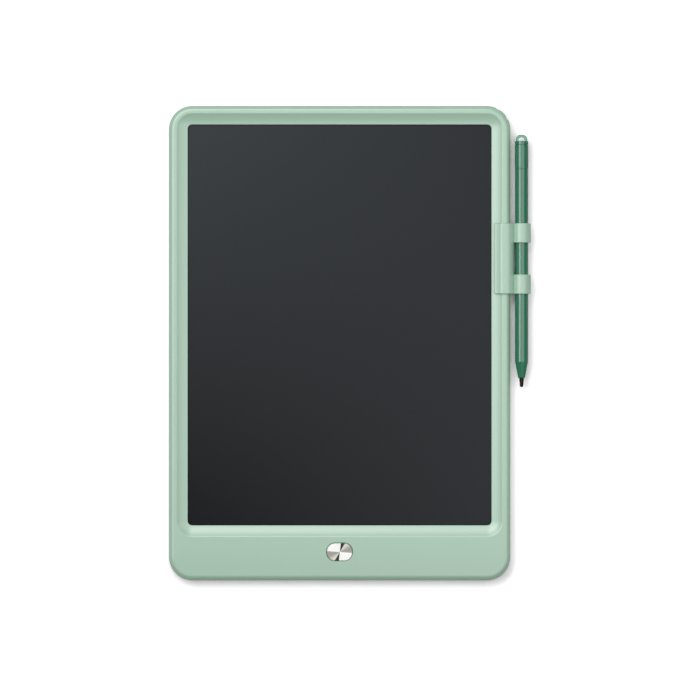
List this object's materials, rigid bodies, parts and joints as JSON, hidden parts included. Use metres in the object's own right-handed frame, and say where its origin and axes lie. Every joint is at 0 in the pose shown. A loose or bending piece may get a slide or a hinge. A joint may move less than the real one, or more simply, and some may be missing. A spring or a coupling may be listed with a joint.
{
  "type": "lcd writing board",
  "caption": "Child's pressure-sensitive writing board with a rimmed frame, erase button, lock slider, battery door and a stylus in a clip-on holder.",
  "frame": {"origin": "middle of the raised panel on the back, in the plane that the board lies on", "axes": "+X to the right, +Y towards the top of the board, +Z out of the writing film"},
  "size_m": [0.1832, 0.24, 0.0096],
  "materials": {
    "mint_plastic": "satin moulded",
    "green_plastic": "gloss moulded",
    "writing_film": "satin film",
    "dark_nib": "matt",
    "spun_metal": "circularly spun, bright",
    "steel": "plated",
    "black_foam": "foam sheet",
    "grey_board": "matt",
    "circuit_green": "lacquered",
    "black_plastic": "matt moulded",
    "amber_film": "clear coated"
  },
  "bodies": {
    "board": {"front_frame": "mint_plastic", "back_cover": "mint_plastic", "writing_film": "writing_film", "case_screw_1": "steel", "case_screw_2": "steel", "case_screw_3": "steel", "case_screw_4": "steel", "case_screw_5": "steel", "case_screw_6": "steel", "circuit_screw_1": "steel", "circuit_screw_2": "steel", "coin_cell": "steel", "contact_positive": "steel", "contact_negative": "steel", "film_foam": "black_foam", "support_plate": "grey_board", "capacitor_1": "grey_board", "capacitor_2": "grey_board", "circuit_board": "circuit_green", "erase_switch_body": "black_plastic", "controller_chip": "black_plastic", "boost_coil": "black_plastic", "lock_switch_body": "black_plastic", "film_tail": "amber_film"},
    "erase_button": {"erase_button_face": "spun_metal", "erase_button_carrier": "mint_plastic", "erase_switch_plunger": "black_plastic"},
    "lock_slider": {"lock_slider": "black_plastic", "lock_switch_nub": "black_plastic"},
    "battery_door": {"battery_door": "mint_plastic", "battery_door_screw": "steel"},
    "pen_holder": {"pen_holder": "mint_plastic"},
    "stylus": {"stylus_barrel": "green_plastic", "stylus_cap": "green_plastic", "stylus_nib": "dark_nib"}
  },
  "joints": [
    {"name": "erase_button_press", "type": "slide", "parent": "board", "child": "erase_button", "axis": [0, 0, -1], "range_m": [0, 0.0004], "stiffness_N_per_m": 800, "springref_m": -0.001},
    {"name": "lock_slide", "type": "slide", "parent": "board", "child": "lock_slider", "axis": [1, 0, 0], "range_m": [0, 0.002]},
    {"name": "battery_door_tip", "type": "hinge", "parent": "board", "child": "battery_door", "pos_m": [-0.036, -0.1102, 0.0001], "axis": [-1, 0, 0], "range_deg": [0, 30]},
    {"name": "holder_slide", "type": "slide", "parent": "board", "child": "pen_holder", "axis": [0, 1, 0], "range_m": [-0.115, 0.047]},
    {"name": "stylus_draw", "type": "slide", "parent": "pen_holder", "child": "stylus", "axis": [0, 1, 0], "range_m": [-0.027, 0.085]}
  ]
}
